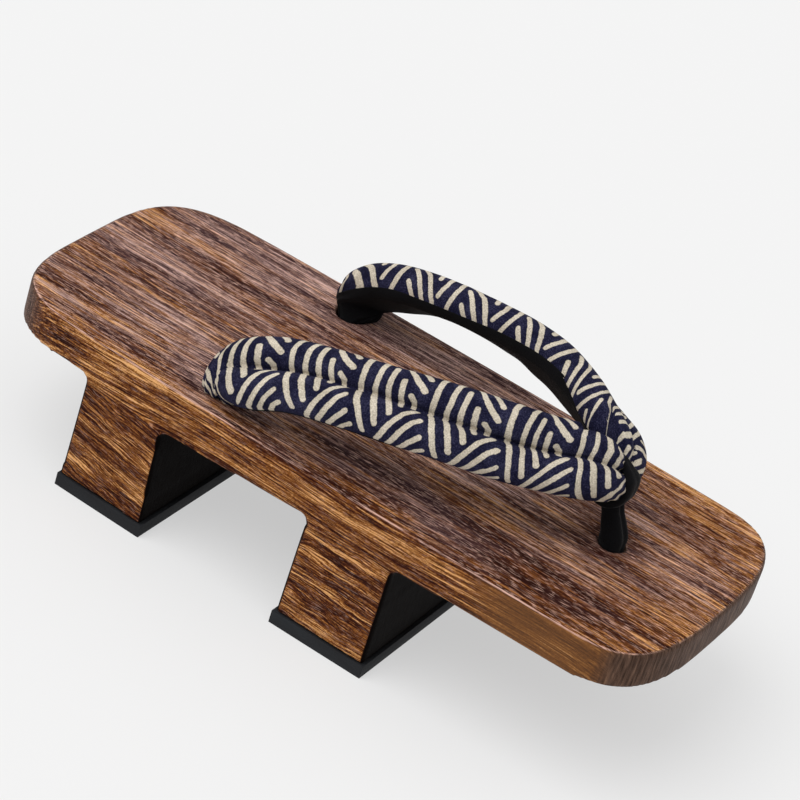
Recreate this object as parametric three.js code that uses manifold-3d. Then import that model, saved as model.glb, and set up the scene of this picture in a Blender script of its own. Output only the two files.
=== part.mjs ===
// A geta: a wooden sandal whose footboard and two teeth are one block, with rubber under the teeth
// and a padded thong strap held by a cloth loop at the toe.
// Millimetres. +X points to the toe, +Y to the wearer's left and +Z up. The origin is on the floor,
// below the middle of the board. The sandal is the same on both sides of the XZ plane.
import * as THREE from "three";
import { mergeVertices } from "three/addons/utils/BufferGeometryUtils.js";
import Module from "manifold-3d";

const wasm = await Module();
wasm.setup();

// ---- Driving dimensions ----
const BOARD_LENGTH = 282.4;
const BOARD_WIDTH = 117;
const TOP_HEIGHT = 65; // the footbed, above the floor
const PAD_THICKNESS = 5.2;
const GAP = 0.3; // between any two pieces that meet

const HALF_LENGTH = BOARD_LENGTH / 2;
const HALF_WIDTH = BOARD_WIDTH / 2;

// The plan outline: slightly bowed sides, a little wider at the toe, with rounded ends.
const SIDE_BOW = 2.3; // how much each side draws in at both ends
const TOE_FLARE = 1.05; // how much each side moves out at the toe, and in at the heel
const HEEL_ROUND = { reach: 53, power: 3.8 };
const TOE_ROUND = { reach: 33, power: 3.06 };
const TOP_EDGE_RADIUS = 1.6;

// The teeth, by the places of their faces along X at the root and at the foot.
const TEETH = [
  { pad: "heel_pad", backRoot: -95, frontRoot: -60.2, backFoot: -95.5, frontFoot: -58 },
  { pad: "toe_pad", backRoot: 4.7, frontRoot: 41.6, backFoot: 3.7, frontFoot: 42 },
];
const TOOTH_FILLET = 3;
const PAD_OVERHANG = 0.9;

// The underside's height above the floor, from heel to toe.
const UNDERSIDE = { heelTip: 49, heelToothBack: 49.7, heelToothFront: 45.8, toeToothBack: 48.4,
  toeToothFront: 47.9, toeTip: 49.9 };

// The three strap holes.
const TOE_HOLE = { x: 94, y: 0, radius: 5 };
const HEEL_HOLE = { x: -47, y: 42, radius: 6 };

// The strap's two padded rolls, as the lines down their middles: forward, out from the centre plane, and up
// from the footbed, with each roll's radius there. The inner roll is the one nearer the foot's middle.
const ROLL = 7.4;
const INNER_ROLL = [
  { forward: -48.9, out: 44.2, up: 1.4, radius: 6 },
  { forward: -48.2, out: 42.8, up: 8, radius: 6.9 },
  { forward: -43.4, out: 41.2, up: 15.6, radius: ROLL },
  { forward: -33, out: 40, up: 22.4, radius: ROLL },
  { forward: -18, out: 38.7, up: 27.3, radius: ROLL },
  { forward: 2, out: 36.4, up: 31.5, radius: ROLL },
  { forward: 22, out: 32.7, up: 35.2, radius: ROLL },
  { forward: 42, out: 26.9, up: 37.2, radius: ROLL },
  { forward: 58, out: 19.4, up: 36.9, radius: 7.2 },
  { forward: 69.4, out: 11.8, up: 35.9, radius: 7 },
  { forward: 76.2, out: 7.2, up: 34.9, radius: 6.9 },
  { forward: 80.4, out: 4.6, up: 33.4, radius: 6.7 },
  { forward: 82.4, out: 2.4, up: 31.8, radius: 6.2 },
  { forward: 83, out: -0.8, up: 30.6, radius: 5.8 },
];
const OUTER_ROLL = [
  { forward: -43.6, out: 43.8, up: 1.4, radius: 5.8 },
  { forward: -43.2, out: 47, up: 6.4, radius: 6.6 },
  { forward: -39.6, out: 50.4, up: 10.2, radius: 7.2 },
  { forward: -31, out: 51.6, up: 14.6, radius: ROLL },
  { forward: -18, out: 50.6, up: 20.4, radius: ROLL },
  { forward: 2, out: 47.8, up: 24.7, radius: ROLL },
  { forward: 22, out: 43.4, up: 26.9, radius: ROLL },
  { forward: 42, out: 36.4, up: 27.3, radius: ROLL },
  { forward: 58, out: 28.6, up: 26.6, radius: 7.5 },
  { forward: 70.6, out: 21.4, up: 26.8, radius: 7.7 },
  { forward: 80, out: 14.6, up: 27.2, radius: 7.9 },
  { forward: 85.2, out: 8.8, up: 26.2, radius: 7.4 },
  { forward: 86.6, out: 3.6, up: 24, radius: 6.4 },
  { forward: 86.6, out: -0.8, up: 22.8, radius: 5.4 },
];
const LINING_DEPTH = 6.6; // the flat back of the strap, behind the middles of its rolls
const SEAM_DEPTH = 2.2; // the seam between the rolls, in front of their middles

// The toe loop, a band round the strap's point in the centre plane, and the post below it.
const LOOP = { x: 85.6, up: 24.2, halfLength: 7.3, halfHeight: 9.4, band: 4.4, width: 8.4 };
const POST_RADIUS = 4.4;
const POST = [
  { forward: 88.6, up: 16 },
  { forward: 89.8, up: 12 },
  { forward: 91.8, up: 7.4 },
  { forward: 93.4, up: 3 },
  { forward: 94, up: -5 },
];

// The parts of the strap and the post that run straight down their holes: how far below the footbed each
// one starts (the tail starts above it), and how far above the underside it ends.
const TAIL = { start: -4, end: 1 };
const STEM = { start: 3, end: 1.5 };

// The knots under the board, flat below and above out to a share of their radius.
const KNOT = { radius: 7.2, height: 7.6, flatBelow: 0.6, flatAbove: 0.5 };

const ROLL_SIDES = 9; // points round each roll
const STRAP_STEPS = 42;
const POST_SIDES = 16;
const POST_STEPS = 12;
const OUTLINE_STEPS = 84;
const TOP_EDGE_STEPS = 3;
const FILLET_STEPS = 6;
const LOOP_SIDES = 40;
const HOLE_SIDES = 24;
const STEM_SIDES = 16;
const KNOT_SIDES = 16;
const KNOT_STEPS = 4;
const SPARE = 1; // how far a cutting shape reaches past the piece it cuts

// ---- Solids ----
function solid(geometry) {
  const unindexed = geometry.index ? geometry.toNonIndexed() : geometry;
  const bare = new THREE.BufferGeometry().setAttribute("position", unindexed.attributes.position);
  const merged = mergeVertices(bare, 1e-4);
  return new wasm.Manifold(new wasm.Mesh({
    numProp: 3,
    vertProperties: merged.attributes.position.array,
    triVerts: new Uint32Array(merged.index.array),
  }));
}

function geometryOf(manifold) {
  const { vertProperties, triVerts } = manifold.getMesh();
  return new THREE.BufferGeometry()
    .setAttribute("position", new THREE.BufferAttribute(vertProperties, 3))
    .setIndex(new THREE.BufferAttribute(triVerts, 1));
}

function join(solids) {
  return solids.reduce((whole, next) => whole.add(next));
}

// A prism of a shape drawn in X and Z, running from -halfDepth to halfDepth in Y.
function prismAcross(shape, halfDepth) {
  const geometry = new THREE.ExtrudeGeometry(shape, {
    depth: 2 * halfDepth,
    bevelEnabled: false,
    curveSegments: FILLET_STEPS,
  });
  return solid(geometry.rotateX(Math.PI / 2).translate(0, halfDepth, 0));
}

function boxBetween([x0, y0, z0], [x1, y1, z1]) {
  const box = new THREE.BoxGeometry(x1 - x0, y1 - y0, z1 - z0);
  return solid(box.translate((x0 + x1) / 2, (y0 + y1) / 2, (z0 + z1) / 2));
}

function upright(x, y, z0, z1, radius, sides) {
  const cylinder = new THREE.CylinderGeometry(radius, radius, z1 - z0, sides);
  return solid(cylinder.rotateX(Math.PI / 2).translate(x, y, (z0 + z1) / 2));
}

// A closed skin over rings of points, each ring with the same number of points, with flat ends.
function loft(rings) {
  const sides = rings[0].length;
  const points = rings.flat();
  const faces = [];
  for (let r = 0; r + 1 < rings.length; r++)
    for (let s = 0; s < sides; s++) {
      const [a, b] = [r * sides + s, r * sides + ((s + 1) % sides)];
      faces.push(a, b, b + sides, a, b + sides, a + sides);
    }
  const last = (rings.length - 1) * sides;
  for (let s = 1; s + 1 < sides; s++) faces.push(0, s + 1, s, last, last + s, last + s + 1);
  const geometry = new THREE.BufferGeometry().setFromPoints(points).setIndex(faces);
  const made = solid(geometry);
  return made.volume() > 0 ? made : solid(geometry.setIndex(faces.reverse()));
}

// ---- The board and its teeth ----
// Half the board's width at x, a share of the way from the middle to each end.
function halfWidthAt(x) {
  const along = x / HALF_LENGTH;
  const side = HALF_WIDTH - SIDE_BOW * along * along + TOE_FLARE * along;
  const roundedBy = (distance, { reach, power }) => {
    const inside = Math.max(0, 1 - distance / reach);
    return Math.max(0, 1 - inside ** power) ** (1 / power);
  };
  return side * roundedBy(x + HALF_LENGTH, HEEL_ROUND) * roundedBy(HALF_LENGTH - x, TOE_ROUND);
}

function planOutline(grow = 0) {
  const side = [];
  for (let i = 0; i <= OUTLINE_STEPS; i++) {
    const x = -HALF_LENGTH * Math.cos((Math.PI * i) / OUTLINE_STEPS);
    side.push(new THREE.Vector2(x, -halfWidthAt(x) - grow));
  }
  const other = side.slice(1, -1).reverse().map((p) => new THREE.Vector2(p.x, -p.y));
  return new THREE.Shape([...side, ...other]);
}

// The board seen from its side, with the two teeth and the fillets where they meet it.
function sideProfile() {
  const [heel, toe] = TEETH;
  const foot = PAD_THICKNESS + GAP;
  const corners = [
    { x: -HALF_LENGTH - SPARE, z: UNDERSIDE.heelTip },
    { x: heel.backRoot, z: UNDERSIDE.heelToothBack, fillet: TOOTH_FILLET },
    { x: heel.backFoot, z: foot },
    { x: heel.frontFoot, z: foot },
    { x: heel.frontRoot, z: UNDERSIDE.heelToothFront, fillet: TOOTH_FILLET },
    { x: toe.backRoot, z: UNDERSIDE.toeToothBack, fillet: TOOTH_FILLET },
    { x: toe.backFoot, z: foot },
    { x: toe.frontFoot, z: foot },
    { x: toe.frontRoot, z: UNDERSIDE.toeToothFront, fillet: TOOTH_FILLET },
    { x: HALF_LENGTH + SPARE, z: UNDERSIDE.toeTip },
    { x: HALF_LENGTH + SPARE, z: TOP_HEIGHT + SPARE },
    { x: -HALF_LENGTH - SPARE, z: TOP_HEIGHT + SPARE },
  ];
  const shape = new THREE.Shape();
  corners.forEach((corner, i) => {
    const here = new THREE.Vector2(corner.x, corner.z);
    if (!corner.fillet) {
      if (i === 0) shape.moveTo(here.x, here.y);
      else shape.lineTo(here.x, here.y);
      return;
    }
    const towards = ({ x, z }) => new THREE.Vector2(x, z).sub(here).setLength(corner.fillet).add(here);
    const start = towards(corners[i - 1]);
    const end = towards(corners[i + 1]);
    shape.lineTo(start.x, start.y);
    shape.quadraticCurveTo(here.x, here.y, end.x, end.y);
  });
  shape.closePath();
  return shape;
}

function makeBoard() {
  const plan = new THREE.ExtrudeGeometry(planOutline(), {
    depth: TOP_HEIGHT - TOP_EDGE_RADIUS,
    bevelThickness: TOP_EDGE_RADIUS,
    bevelSize: TOP_EDGE_RADIUS,
    bevelOffset: -TOP_EDGE_RADIUS,
    bevelSegments: TOP_EDGE_STEPS,
  });
  const block = solid(plan);
  const sawn = block.intersect(prismAcross(sideProfile(), BOARD_WIDTH));
  const holes = [TOE_HOLE, HEEL_HOLE, { ...HEEL_HOLE, y: -HEEL_HOLE.y }]
    .map((hole) => upright(hole.x, hole.y, 0, TOP_HEIGHT + SPARE, hole.radius, HOLE_SIDES));
  return sawn.subtract(join(holes));
}

// ---- The rubber under a tooth ----
function makePad({ backFoot, frontFoot }) {
  const sheet = { depth: PAD_THICKNESS, bevelEnabled: false };
  const plan = solid(new THREE.ExtrudeGeometry(planOutline(GAP), sheet));
  return plan.intersect(boxBetween(
    [backFoot - PAD_OVERHANG, -BOARD_WIDTH, -SPARE],
    [frontFoot + PAD_OVERHANG, BOARD_WIDTH, TOP_HEIGHT],
  ));
}

// ---- The strap ----
// A roll's middle line on the side given by its sign, and its radius along it.
function rollLine(rows, side) {
  const points = rows.map((row) => new THREE.Vector3(row.forward, side * row.out, TOP_HEIGHT + row.up));
  const line = new THREE.CatmullRomCurve3(points, false, "centripetal");
  const radiusAt = (t) => {
    const at = t * (rows.length - 1);
    const row = Math.min(Math.floor(at), rows.length - 2);
    return THREE.MathUtils.lerp(rows[row].radius, rows[row + 1].radius, at - row);
  };
  return { line, radiusAt };
}

// One section across the strap: round the inner roll from the lining to the seam, then round the outer roll
// from the seam back to the lining, which lies flat between them.
function strapSection(inner, outer, t, side) {
  const middles = [inner.line.getPoint(t), outer.line.getPoint(t)];
  const across = middles[1].clone().sub(middles[0]);
  const spread = across.length();
  across.normalize();
  const front = across.clone().cross(inner.line.getTangent(t)).normalize().multiplyScalar(-side);
  const liningTurn = Math.asin(LINING_DEPTH / ROLL);
  return [inner, outer].flatMap((roll, which) => {
    const radius = roll.radiusAt(t);
    const seamTurn = Math.acos(Math.min(spread / 2 / radius, Math.cos(Math.asin(SEAM_DEPTH / ROLL))));
    const turns = [Math.PI + liningTurn, seamTurn];
    const [from, to] = which === 0 ? turns : turns.reverse().map((turn) => Math.PI - turn);
    return Array.from({ length: ROLL_SIDES }, (_, s) => {
      const turn = THREE.MathUtils.lerp(from, to, (s + which / 2) / (ROLL_SIDES - 0.5));
      return middles[which].clone()
        .addScaledVector(across, radius * Math.cos(turn))
        .addScaledVector(front, radius * Math.sin(turn));
    });
  });
}

function makeStrapSide(side) {
  const inner = rollLine(INNER_ROLL, side);
  const outer = rollLine(OUTER_ROLL, side);
  const rings = Array.from({ length: STRAP_STEPS + 1 },
    (_, i) => strapSection(inner, outer, i / STRAP_STEPS, side));
  const tail = upright(HEEL_HOLE.x, side * HEEL_HOLE.y, UNDERSIDE.heelToothFront + TAIL.end,
    TOP_HEIGHT - TAIL.start, HEEL_HOLE.radius - GAP, STEM_SIDES);
  const underTop = boxBetween([-BOARD_LENGTH, -BOARD_LENGTH, 0],
    [BOARD_LENGTH, BOARD_LENGTH, TOP_HEIGHT + GAP]);
  return loft(rings).subtract(underTop).add(tail);
}

function makeStrap() {
  return makeStrapSide(1).add(makeStrapSide(-1))
    .subtract(makeLoopBand(GAP, 2 * LOOP.band))
    .subtract(makePost(GAP));
}

// ---- The toe loop ----
// The band round the strap's point, made larger by a clearance on each face and thicker outwards.
function makeLoopBand(clearance = 0, outward = 0) {
  const ellipse = (grow) => {
    const path = new THREE.Path();
    path.absellipse(LOOP.x, TOP_HEIGHT + LOOP.up, LOOP.halfLength + grow, LOOP.halfHeight + grow,
      0, 2 * Math.PI, false);
    return path.getPoints(LOOP_SIDES).slice(0, -1);
  };
  const shape = new THREE.Shape(ellipse(LOOP.band / 2 + clearance + outward));
  shape.holes.push(new THREE.Path(ellipse(-LOOP.band / 2 - clearance)));
  return prismAcross(shape, LOOP.width / 2 + clearance);
}

function makePost(clearance = 0) {
  const line = new THREE.CatmullRomCurve3(
    POST.map((row) => new THREE.Vector3(row.forward, 0, TOP_HEIGHT + row.up)));
  const radius = POST_RADIUS + clearance;
  const rings = Array.from({ length: POST_STEPS + 1 }, (_, i) => {
    const along = line.getTangent(i / POST_STEPS);
    const side = new THREE.Vector3(0, 1, 0);
    const front = along.clone().cross(side);
    return Array.from({ length: POST_SIDES }, (__, s) => {
      const turn = (2 * Math.PI * s) / POST_SIDES;
      return line.getPoint(i / POST_STEPS)
        .addScaledVector(side, radius * Math.cos(turn))
        .addScaledVector(front, radius * Math.sin(turn));
    });
  });
  const stem = upright(TOE_HOLE.x, 0, UNDERSIDE.toeToothFront + STEM.end, TOP_HEIGHT - STEM.start,
    radius, STEM_SIDES);
  return loft(rings).add(stem);
}

function makeToeLoop() {
  return makeLoopBand().add(makePost());
}

// ---- The knots under the board ----
function makeKnot(x, y, underside) {
  const { radius, height, flatBelow, flatAbove } = KNOT;
  const profile = new THREE.Path();
  profile.moveTo(0, 0);
  profile.lineTo(radius * flatBelow, 0);
  profile.quadraticCurveTo(radius, 0, radius, height / 2);
  profile.quadraticCurveTo(radius, height, radius * flatAbove, height);
  profile.lineTo(0, height);
  const lathe = new THREE.LatheGeometry(profile.getPoints(KNOT_STEPS), KNOT_SIDES);
  return solid(lathe.rotateX(Math.PI / 2).translate(x, y, underside - GAP - height));
}

function undersideAt(x) {
  const [heel, toe] = TEETH;
  const stations = [
    [-HALF_LENGTH, UNDERSIDE.heelTip], [heel.backRoot, UNDERSIDE.heelToothBack],
    [heel.frontRoot, UNDERSIDE.heelToothFront], [toe.backRoot, UNDERSIDE.toeToothBack],
    [toe.frontRoot, UNDERSIDE.toeToothFront], [HALF_LENGTH, UNDERSIDE.toeTip],
  ];
  const next = stations.findIndex(([at]) => at >= x);
  const [[x0, z0], [x1, z1]] = [stations[next - 1], stations[next]];
  return THREE.MathUtils.mapLinear(x, x0, x1, z0, z1);
}

// ---- Assembly ----
const wood = new THREE.MeshStandardMaterial({ color: 0x6b4630, roughness: 0.55, metalness: 0 });
const print = new THREE.MeshStandardMaterial({ color: 0x3a3a5c, roughness: 0.9, metalness: 0 });
const cloth = new THREE.MeshStandardMaterial({ color: 0x111114, roughness: 0.95, metalness: 0 });
const rubber = new THREE.MeshStandardMaterial({ color: 0x232527, roughness: 0.8, metalness: 0 });

const sandal = new THREE.Group();
function place(name, manifold, material) {
  const mesh = new THREE.Mesh(geometryOf(manifold), material);
  mesh.name = name;
  sandal.add(mesh);
}

place("board", makeBoard(), wood);
for (const tooth of TEETH) place(tooth.pad, makePad(tooth), rubber);
place("strap", makeStrap(), print);
place("toe_loop", makeToeLoop(), cloth);
place("knot_toe", makeKnot(TOE_HOLE.x, 0, undersideAt(TOE_HOLE.x)), cloth);
place("knot_heel_right", makeKnot(HEEL_HOLE.x, -HEEL_HOLE.y, undersideAt(HEEL_HOLE.x)), cloth);
place("knot_heel_left", makeKnot(HEEL_HOLE.x, HEEL_HOLE.y, undersideAt(HEEL_HOLE.x)), cloth);

export default sandal;
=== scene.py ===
"""The looks of a geta: burnt wood, rubber soles, a printed and padded thong strap and its black toe loop."""
import math
from collections import namedtuple

import bmesh
import bpy
import numpy as np
from mathutils import Matrix, Vector


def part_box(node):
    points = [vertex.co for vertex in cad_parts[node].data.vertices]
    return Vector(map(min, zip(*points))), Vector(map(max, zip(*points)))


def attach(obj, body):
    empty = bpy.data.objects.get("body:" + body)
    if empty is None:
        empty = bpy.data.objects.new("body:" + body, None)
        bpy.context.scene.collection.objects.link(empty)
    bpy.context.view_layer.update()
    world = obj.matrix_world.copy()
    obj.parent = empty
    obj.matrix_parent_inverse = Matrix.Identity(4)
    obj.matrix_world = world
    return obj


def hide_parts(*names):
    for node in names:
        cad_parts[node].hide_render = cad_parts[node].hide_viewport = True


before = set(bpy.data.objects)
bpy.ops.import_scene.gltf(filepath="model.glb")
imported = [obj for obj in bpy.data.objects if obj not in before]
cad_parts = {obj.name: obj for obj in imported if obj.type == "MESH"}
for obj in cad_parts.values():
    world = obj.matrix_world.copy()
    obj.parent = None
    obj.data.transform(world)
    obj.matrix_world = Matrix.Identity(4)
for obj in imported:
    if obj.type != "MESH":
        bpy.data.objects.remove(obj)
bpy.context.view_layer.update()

MM = 0.001
BODY = "root"
FULL_TURN = 2 * math.pi
SIDEWAYS = np.array([[0, 1, 0]])

# ---- Sizes shared with the CAD model, in millimetres ----
# +X points to the toe, +Y to the wearer's left and +Z up, from the floor below the middle of the board.
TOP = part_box("board")[1].z / MM  # the footbed, above the floor
UNDERSIDE = 47  # the board's underside above the teeth, roughly
GAP = 0.3  # between pieces
HEEL_TOOTH_MIDDLE = -77.3
HEEL_HOLE = Vector((-47, 42, 0))  # the left one; the right one is its mirror image
HEEL_HOLE_RADIUS = 6
TOE_HOLE = Vector((94, 0, 0))
TOE_HOLE_RADIUS = 5

# The strap's two rolls on the right side, from the heel hole to the toe: forward, out from the centre plane,
# up from the footbed, and the roll's radius.
ROLL = 7.4
Row = namedtuple("Row", "forward out up radius")
INNER_ROLL = [
    Row(-47.6, 42.4, -17, 3.6), Row(-47.6, 42.4, -9, 3.6), Row(-47.8, 43, -3, 4.2),
    Row(-48.9, 44.2, 1.4, 6), Row(-48.2, 42.8, 8, 6.9), Row(-43.4, 41.2, 15.6, ROLL),
    Row(-33, 40, 22.4, ROLL), Row(-18, 38.7, 27.3, ROLL), Row(2, 36.4, 31.5, ROLL),
    Row(22, 32.7, 35.2, ROLL), Row(42, 26.9, 37.2, ROLL), Row(58, 19.4, 36.9, 7.2),
    Row(69.4, 11.8, 35.9, 7), Row(76.2, 7.2, 34.9, 6.9), Row(80.4, 4.6, 33.4, 6.7),
    Row(82.4, 2.4, 31.8, 6.2), Row(83, 0, 30.6, 5.8),
]
OUTER_ROLL = [
    Row(-46.4, 42, -17, 3.6), Row(-46.4, 42, -9, 3.6), Row(-45.4, 42.2, -3, 4.2),
    Row(-43.6, 43.8, 1.4, 5.8), Row(-43.2, 47, 6.4, 6.6), Row(-39.6, 50.4, 10.2, 7.2),
    Row(-31, 51.6, 14.6, ROLL), Row(-18, 50.6, 20.4, ROLL), Row(2, 47.8, 24.7, ROLL),
    Row(22, 43.4, 26.9, ROLL), Row(42, 36.4, 27.3, ROLL), Row(58, 28.6, 26.6, 7.5),
    Row(70.6, 21.4, 26.8, 7.7), Row(80, 14.6, 27.2, 7.9), Row(85.2, 8.8, 26.2, 7.4),
    Row(86.6, 3.6, 24, 6.4), Row(86.6, 0, 22.8, 5.4),
]
LINING_DEPTH = 6.6  # how far behind the rolls' middles the strap's flat back is
SEAM_DEPTH = 2.2  # the rolls meet no deeper than this in front of their middles

# The toe loop: a band round the strap's point, in the centre plane, and the post below it.
LOOP_X, LOOP_Z = 85.6, TOP + 24.2
LOOP_HALF_LENGTH, LOOP_HALF_HEIGHT = 7.3, 9.4
LOOP_BAND, LOOP_WIDTH = 4.4, 8.4
POST_RADIUS = 4.4
POST = [(88.6, 16), (89.8, 12), (91.8, 7.4), (93.4, 3), (94, -5), (94, -17)]  # forward, up from the footbed

# ---- Sizes of the finer shapes, in millimetres ----
BOARD_VOXEL = 1.15  # the board's edges are softened on a mesh of this size
PAD_EDGE = 0.6

# The strap's mesh: even steps along it, and columns round each roll that are closer together by the seam.
STRAP_PITCH = 0.6
SEAM_COLUMNS = [0.35, 0.75, 1.2]
EVEN_COLUMNS_START = 1.8
COVER_TURN = 183  # about how many degrees of a roll the cover goes round, from the seam to its edge
COVER_EDGE = 33  # degrees past the side of a roll where the printed cover gives way to the lining
TUCK_INNER, TUCK_OUTER = 8, 45  # degrees that this edge draws back at the heel holes, on either roll
GATHER_START, GATHER_FULL = 34, 20  # the strap gathers towards its end over this stretch
HEM_COLUMNS, HEM_END, HEM_DEPTH = 5, 262, 0.8  # the cover's hem goes on, under the lining, to this angle
SEAM_CREASE = 0.7  # how much deeper the sewn line sits
SEAM_PULL, SEAM_PULL_REACH = 0.55, 2.2  # the stitches pull the cloth in this deep, over this distance
FOLDS_START, FOLD_HEIGHT, FOLD_PITCH, FOLD_LEAN = 38, 0.4, 4.6, 2.4  # gathers in the cover by the hole
TUCK_HEIGHT, TUCK_PITCH, TUCKS_START, TUCKS_FULL = 0.25, 4.4, 12, 4  # and by the strap's point
LINING_OUTSIDE, LINING_INSIDE = 0.15, -0.7  # the lining's two faces, above the bare roll
LINING_GATHER, LINING_GATHER_PITCH = 0.3, 3.6
LINING_COLUMNS = 16
LINING_LAP = 0.1  # how far the lining reaches under the cover and past the flat of the back, in radians

# The toe loop's finer form, and how it draws the strap in. Grooves are shares of the thickness.
LOOP_TOP = (0.3, 0.9)  # the loop narrows between these shares of its half height
LOOP_THINS, LOOP_NARROWS, LOOP_WAVE = 0.45, 0.5, 0.03  # shares of its thickness and of its width
LOOP_GROOVE, POST_GROOVE, GROOVE_WIDTH = 0.1, 0.2, 0.28
POST_WAIST = 0.7  # how much thinner the post is by the loop
POST_FOOT, POST_FOOT_HEIGHT = 0.4, 2.4  # how much it swells just above the board
LOOP_SLACK = 0.1
PINCH_BACK, PINCH_SIDE = 70, 11  # the pinch is ahead of the one and nearer the centre plane than the other
PINCH_NARROWS = 0.6  # the share of its width that the pinch loses over the loop's top
PINCH_LEAD, PINCH_WIDTH, PINCH_BULGE = 0.5, 1.6, 1.05  # how the strap bulges out again beside the loop

# The knots under the board: a cord tied in a flat trefoil.
KNOT_REACH, KNOT_RISE, KNOT_CORD, KNOT_WAVE = 1.5, 1.15, 2.55, 0.12

# Soft noise on cloth: how strong, the size of its cells along the cloth and round it, and its seed.
Lumps = namedtuple("Lumps", "amount along around seed")
STUFFING = Lumps(0.22, 13, 8, 7)
PUCKERS = Lumps(0.3, 2.6, 1, 8)  # not the same on either side of the seam
FOLD_SWAY = Lumps(1.2, 8, 10, 9)
DRIFT_ALONG = Lumps(0.55, 12, 8, 12)
DRIFT_AROUND = Lumps(0.5, 9, 11, 13)
LINING_LUMPS = Lumps(0.35, 9, 5, 15)
POST_LUMPS = Lumps(0.15, 2, 1, 16)

# ---- The printed pattern ----
# One repeat of the print, drawn on the cloth: along is counted from where the tallest stroke crosses the seam
# and round from the seam, over the inner roll when positive and over the outer roll when negative.
PRINT_REPEAT = 26.05
PRINT_START = -13  # the repeat runs from here
STROKE_HALF_WIDTH = 0.98
FAN = [  # tall strokes that cross the seam, each shorter than the one before
    [(-0.3, 25), (-2.2, 18), (-2.9, 14), (-2.5, 9), (-0.7, 3), (0, 0), (3.2, -8), (6.4, -14), (8.9, -18.4)],
    [(4.7, 20.6), (2.8, 15), (3, 10), (4.5, 3), (5.2, 0), (8, -7), (12, -14)],
    [(7.3, 13.3), (8.2, 7), (9.7, 1), (10.3, -1), (12.3, -5), (14.3, -8.6)],
    [(12.4, 8.3), (13.5, 4), (14.3, 1), (15.8, -3.3)],
    [(16.9, 4), (19, 2.2), (19.6, -0.6)],
]
SLANTS = [  # slanting strokes high on the inner roll
    [(6.4, 24), (9.4, 18.4), (12.4, 13.6), (16.2, 9.9), (20, 7.2)],
    [(11, 25), (12.5, 22), (16, 16.5), (19.4, 12.5)],
    [(15.5, 25), (19.4, 19.6)],
]
ARCS = [  # quarter arcs low on the outer roll
    [(-12.4, -26), (-12, -20.5), (-10, -13.5), (-7.3, -6.8), (-3.9, -2)],
    [(-8.6, -26), (-8, -21), (-5.5, -14), (-3, -9), (-1.2, -6.8)],
    [(-4.6, -26), (-4, -21), (-1.8, -16.5), (1.2, -13)],
    [(-0.6, -26), (0, -22.5), (1.7, -19.2), (4, -17.5)],
]
PRINT_RIGHT, PRINT_LEFT = 17.8, -4.2  # where in the repeat the strap's point is, counted along each side
# Pairs of the distance from the strap's point and how far the printed cloth has slipped there: towards the
# heel on the right side, and towards the toe on the left.
SLIP_RIGHT = [
    (0, -1.2), (4, -0.5), (8, -0.3), (13, 0.7), (20, -0.2), (26, 0.7), (32, 0.6), (40, -0.6),
    (50, 0), (126, 0.4), (131, 1.2), (140, 2.6), (148, 2.4), (160, 0.8), (175, 0),
]
SLIP_LEFT = [(8, -6), (26, -3.2), (38, -0.8), (46, 0), (105, 0.3), (116, 1.2), (125, 2.2), (170, 2.4)]
# The same for how far the cover has turned round the rolls, towards the inner one, left of the point.
TURNED = [(6, 0), (16, 4.4), (28, 4.4), (46, 0)]
# Nearer the strap's point than the first distance, and farther from it than the second, the print follows
# each line of cloth round the bend. The inner roll's print follows only this share of the first bend.
POINT_BEND_END = 45
HOLE_BEND_START = 115
INNER_BEND_SHARE = 0.35
SEAM_BLEND = 6  # the two rolls' prints join smoothly over this distance from the seam
CRUSHED_INK = 4  # how far the strokes draw back where the cloth is crushed into a bend
CRUSH_START, CRUSH_FULL = 0.85, 0.55  # cloth is crushed when it keeps less than these shares of its length
BEND_WINDOW = 9  # the strap's directions and crushing are averaged over this many steps

# ---- The wood ----
# Colours from the darkest line to the palest one, where the wood is golden and where it is smoky; the smoky
# colours on the top are partly a painted sheen.
WARM_WOOD = [(0.0, (0.022, 0.004, 0.002)), (0.25, (0.072, 0.017, 0.006)), (0.5, (0.18, 0.056, 0.012)),
             (0.75, (0.37, 0.145, 0.035)), (1.0, (0.8, 0.43, 0.17))]
SMOKY_SHEEN_WOOD = [(0.0, (0.03, 0.01, 0.012)), (0.25, (0.085, 0.043, 0.044)), (0.5, (0.18, 0.1, 0.087)),
              (0.75, (0.32, 0.192, 0.165)), (1.0, (0.7, 0.47, 0.41))]
END_WOOD = [(0.0, (0.03, 0.017, 0.013)), (0.5, (0.125, 0.08, 0.062)), (1.0, (0.27, 0.185, 0.14))]
OLIVE_WOOD = (0.17, 0.094, 0.044, 1)  # mixed into the plain sides by the toe
PALE_WOOD_HIGHLIGHT = (0.8, 0.5, 0.4, 1)  # painted highlights: glints along the grain and a bright line along the right top edge
# Near black for the teeth's ends and the board's underside: partly charred end grain, partly painted shade
# under the board.
CHARRED_SHADED_WOOD = (0.0035, 0.0022, 0.002, 1)
# Soft ellipses on the footbed where the wood is more golden, or darker.
Spot = namedtuple("Spot", "x y half_x half_y amount")
GOLD_SPOTS = [Spot(131, -24, 16, 11, 0.9), Spot(120, 38, 30, 12, 0.5), Spot(75, -40, 40, 14, 0.5)]
# Of the darker spots, the first is the strap's painted shadow and the second painted shade round the toe
# loop's post; the rest darken the top.
SMOKE_AND_SHADE_SPOTS = [Spot(25, -38, 75, 15, 0.28), Spot(94, 0, 22, 18, 0.35), Spot(86, -44, 48, 20, 0.42),
               Spot(-100, 0, 34, 40, 0.04), Spot(-30, 46, 40, 10, 0.1)]
# How pale the teeth are by height, from the floor to the footbed; 0.5 changes nothing.
HEEL_TOOTH_TONES = [
    (0.0, 0.28), (0.19, 0.32), (0.22, 0.7), (0.27, 0.48), (0.5, 0.52), (0.6, 0.3), (0.75, 0.24),
]
TOE_TOOTH_TONES = [(0.0, 0.38), (0.18, 0.48), (0.44, 0.53), (0.48, 0.3), (0.52, 0.48), (0.75, 0.44)]
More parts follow.
